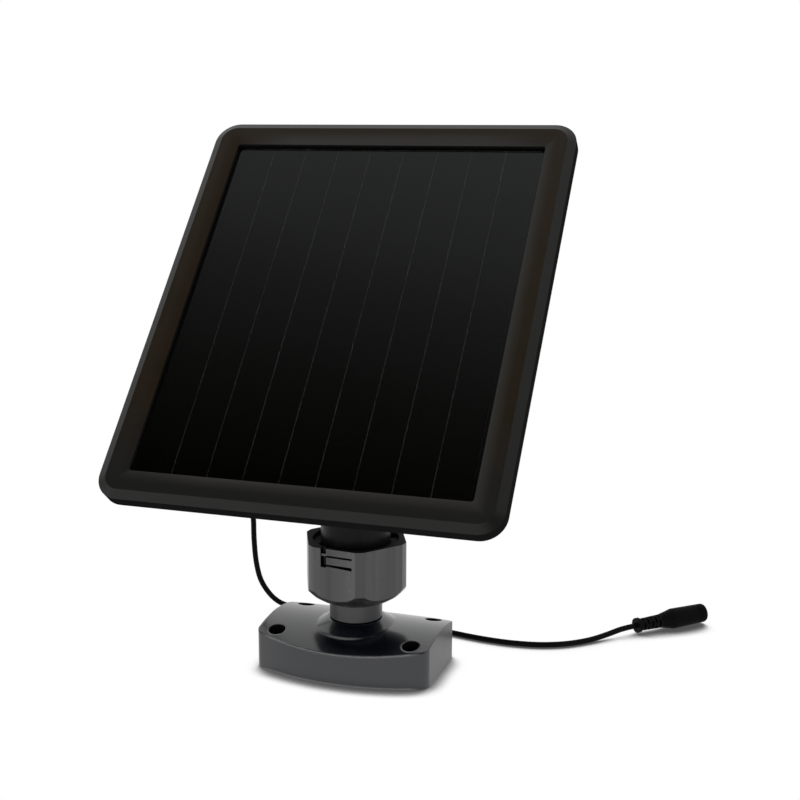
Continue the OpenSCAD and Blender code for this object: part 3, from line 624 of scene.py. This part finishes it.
def rounded(node, radius):
    """A copy of a solid with its sharp edges rounded to this radius, in its finish and on its body."""
    piece = merged_copy(node)
    bevel = piece.modifiers.new("round", "BEVEL")
    bevel.width = radius
    bevel.segments = BEVEL_STEPS
    bevel.limit_method = "ANGLE"
    bevel.angle_limit = SHARP
    bpy.ops.object.modifier_apply(modifier=bevel.name)
    bpy.ops.object.shade_smooth_by_angle(angle=SMOOTH)
    level = piece.modifiers.new("level", "WEIGHTED_NORMAL")
    level.keep_sharp = True
    bpy.ops.object.modifier_apply(modifier=level.name)
    piece.data.materials.clear()
    piece.data.materials.append(finishes[slot_of_node[node]])
    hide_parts(node)
    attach(piece, body_of_node[node])
    return piece


moulded_pieces = {}
for node, radius_mm in EDGE_RADII_MM.items():
    moulded_pieces[node] = rounded(node, radius_mm * MM)
    print(node, "faces:", len(moulded_pieces[node].data.polygons))

# %% [markdown]
# ## Second finishes
# One piece can have more than one skin. The frame's face is warm, the walls of its window are plain black,
# and its outer sides are dull, as a mould leaves them. The nut and the neck are greys of their own, and the
# nut's front flat has a painted sheen. The base's ends are a paler and drier grey than its top, as painted
# light from the side. Wells, bores, slits and the socket inside the nut are painted nearly black, as painted
# shade in the hollows. Cutting the pieces up would make false joints, so faces are picked instead, by their
# place in mm and by the way they face.

# %% Rules that pick faces
FACING = 0.97
ACROSS = 0.3
END_FACING = 0.9
BASE_END_MM = 42
WELL_REACH_MM = 4.5
NUT_MOUTH_MM = 50
NUT_FLAT_FROM_MM = 20
OUTER_SIDE_MM = 90
OUTER_END_MM = 104
hole_row = next(mount["dims"] for mount in record["mounts"] if mount["name"] == "base_holes")
hole_places = [Vector((x * hole_row["spacing_x_mm"], y * hole_row["spacing_y_mm"]))
               for x in (-0.5, 0.5) for y in (-0.5, 0.5)]


def on_a_wall(middle, way):
    """The frame's walls, which stand upright on its face."""
    return abs(way.dot(FACE_WAY)) < ACROSS


def on_outside(middle, way):
    """The outer ones of those walls, well away from the window."""
    rise = (middle - WINDOW_MIDDLE / MM).dot(UP_WAY)
    return on_a_wall(middle, way) and (abs(middle.x) > OUTER_SIDE_MM or abs(rise) > OUTER_END_MM)


def in_a_well(middle, way):
    """The upright walls of the base's screw wells."""
    return abs(way.z) < ACROSS and any((middle.xy - hole).length < WELL_REACH_MM for hole in hole_places)


def in_the_nut(middle, way):
    """The nut's bore, its top and the walls of its slits, which don't face outwards."""
    return middle.z > NUT_MOUTH_MM and way.xy.dot(middle.xy.normalized()) < ACROSS


def on_front_flat(middle, way):
    """The nut's front flat, which gets a painted sheen."""
    return way.dot(NUT_FLAT) > FACING and middle.dot(NUT_FLAT) > NUT_FLAT_FROM_MM


print("holes in mm:", [tuple(hole) for hole in hole_places])

# %% Second finishes
SECOND_FINISHES = [
    ("front_bezel", "frame_face", lambda middle, way: way.dot(FACE_WAY) > FACING),
    ("front_bezel", "black_plastic", on_a_wall),
    ("front_bezel", "frame_side", on_outside),
    ("base_plate", "base_end_painted_light", lambda middle, way: abs(way.x) > END_FACING and abs(middle.x) > BASE_END_MM),
    ("base_plate", "hollow_painted_shade", in_a_well),
    ("clamp_nut", "nut_grey", lambda middle, way: not in_the_nut(middle, way)),
    ("clamp_nut", "nut_painted_sheen", on_front_flat),
    ("clamp_nut", "hollow_painted_shade", in_the_nut),
    ("clamp_socket", "neck_grey", lambda middle, way: middle.z < NUT_MOUTH_MM),
    ("clamp_socket", "hollow_painted_shade", lambda middle, way: middle.z >= NUT_MOUTH_MM),
]


def refinish(piece, finish, is_there):
    """Gives the faces that is_there picks a further finish, over any that they had."""
    piece.data.materials.append(finishes[finish])
    last = len(piece.data.materials) - 1
    for face in piece.data.polygons:
        if is_there(face.center / MM, face.normal):
            face.material_index = last
    print(piece.name, finish, sum(face.material_index == last for face in piece.data.polygons))


for node, finish, is_there in SECOND_FINISHES:
    refinish(moulded_pieces[node], finish, is_there)

# %% [markdown]
# ## Finishes on the other solids
# The remaining solids have the right shape already and hardly show. Copies would only add faces, so the
# solids themselves get their finish.

# %% Dress the other solids
for node, solid in nodes.items():
    if node not in moulded_pieces and node != "output_cord":
        solid.data.materials.clear()
        solid.data.materials.append(finishes[slot_of_node[node]])
        print(node, "gets", slot_of_node[node])

# %% [markdown]

# %% [markdown]
# ## Floor
# The photograph has a white ground with a short shadow where the object touches it, which falls forward and
# a little to the right. The floor is plain white paper. To the camera it is white, darkened where something
# stands close by on the side that the light comes from, behind and to the left, which is what a bright tent
# of light leaves of a shadow. In mirrors it is a little greyer, and to all other rays it is an ordinary pale
# surface that throws light back up. A lamp for this shadow would also light the object, so none is used.

# %% Floor
FLOOR_SIZE = 6.0
PAPER_TONE = 0.8
SHADOW_REACH = 14 * MM
SHADOW_SAMPLES = 16
LIGHT_WAY = Vector((-0.24, 0.63, 0.72)).normalized()
SEEN_STOPS = [
    (0.20, 0.08), (0.42, 0.093), (0.465, 0.117), (0.50, 0.174), (0.547, 0.25), (0.594, 0.356),
    (0.635, 0.508), (0.68, 0.679), (0.725, 0.823), (0.77, 0.947), (0.84, 1.0),
]
MIRRORED_STOPS = [(0.05, 0.10), (0.30, 0.55), (0.60, 0.90), (0.90, 0.95)]


def ray_is(tree, kind):
    """1 for light rays of this kind, such as Camera or Glossy."""
    return Field.make(tree, "ShaderNodeLightPath", output="Is " + kind + " Ray")


def either(share, first, second):
    """The first shader where the share is 0, the second one where it is 1."""
    return Field.make(share.tree, "ShaderNodeMixShader", None, {0: share, 1: first, 2: second})


def paper_light(tree, stops):
    """White paper, darkened where something stands close by towards the light."""
    towards = Field.make(tree, "ShaderNodeCombineXYZ", None, dict(zip("XYZ", LIGHT_WAY)))
    inputs = {"Distance": SHADOW_REACH, "Normal": towards}
    open_share = Field.make(tree, "ShaderNodeAmbientOcclusion", {"samples": SHADOW_SAMPLES}, inputs, "AO")
    return Field.make(tree, "ShaderNodeEmission", None, {"Color": open_share.ramp(stops), "Strength": 1.0})


bpy.ops.object.select_all(action="DESELECT")
bpy.ops.mesh.primitive_plane_add(size=FLOOR_SIZE)
floor = bpy.context.object
floor.name = "paper_floor"
paper, paper_place = new_finish("white_paper")
paper_tree = paper_place.tree
plain = Field.make(paper_tree, "ShaderNodeBsdfDiffuse", None, {"Color": (*grey(PAPER_TONE), 1)})
in_mirror = ray_is(paper_tree, "Glossy") + ray_is(paper_tree, "Transmission")
unseen = either(in_mirror, plain, paper_light(paper_tree, MIRRORED_STOPS))
close(either(ray_is(paper_tree, "Camera"), unseen, paper_light(paper_tree, SEEN_STOPS)))
floor.data.materials.append(paper)
print("floor", FLOOR_SIZE, "m")

# %% [markdown]
# ## Light
# The object stood in a bright tent, so light comes from all round at an even level and colours come out as
# they are written. In front the tent is dark, which is where the glass and the base's top look: it makes the
# panel's black fade upwards into grey. Near the floor it is brighter again, with a strip of light low in
# front, which shows in the upright faces of the base and the nut. Lamps would leave hard highlights on the
# glass, so the world alone paints all of this, as soft patches round a few directions.

# %% World
DARK_WAY = Vector((-0.306, -0.942, 0.139)).normalized()
FRONT_WAY = Vector((-0.35, -0.92, 0.17)).normalized()
STRIP_LIGHT = 1.6
DARK_STOPS = [
    (0.05, 1.0), (0.25, 0.75), (0.36, 0.49), (0.43, 0.33), (0.47, 0.20), (0.50, 0.135), (0.535, 0.07),
    (0.60, 0.006),
]
LOW_STOPS = [(0.10, 0.75), (0.40, 0.0)]
STRIP_HEIGHT_STOPS = [(0.04, 0.0), (0.12, 1.0), (0.24, 1.0), (0.34, 0.0)]
STRIP_WIDTH_STOPS = [(0.55, 0.0), (0.80, 1.0)]

world = bpy.data.worlds.new("light_tent")
scene.world = world
world.use_nodes = True
tent = world.node_tree
tent.nodes.clear()
outwards = Field.make(tent, "ShaderNodeTexCoord", output="Generated")
height = outwards.axis("Z")
wall = outwards.dot(DARK_WAY).ramp(DARK_STOPS)
low = height.ramp(LOW_STOPS)
strip = height.ramp(STRIP_HEIGHT_STOPS) * outwards.dot(FRONT_WAY).ramp(STRIP_WIDTH_STOPS)
glow = wall + low * (1 - wall) + strip * STRIP_LIGHT
around = Field.make(tent, "ShaderNodeBackground", None, {"Color": glow, "Strength": 1.0})
white = Field.make(tent, "ShaderNodeBackground", None, {"Color": (1, 1, 1, 1), "Strength": 1.0})
backdrop = either(ray_is(tent, "Camera"), around, white)
Field.make(tent, "ShaderNodeOutputWorld", None, {"Surface": backdrop})
print("tent of light, dark towards", tuple(round(x, 2) for x in DARK_WAY))
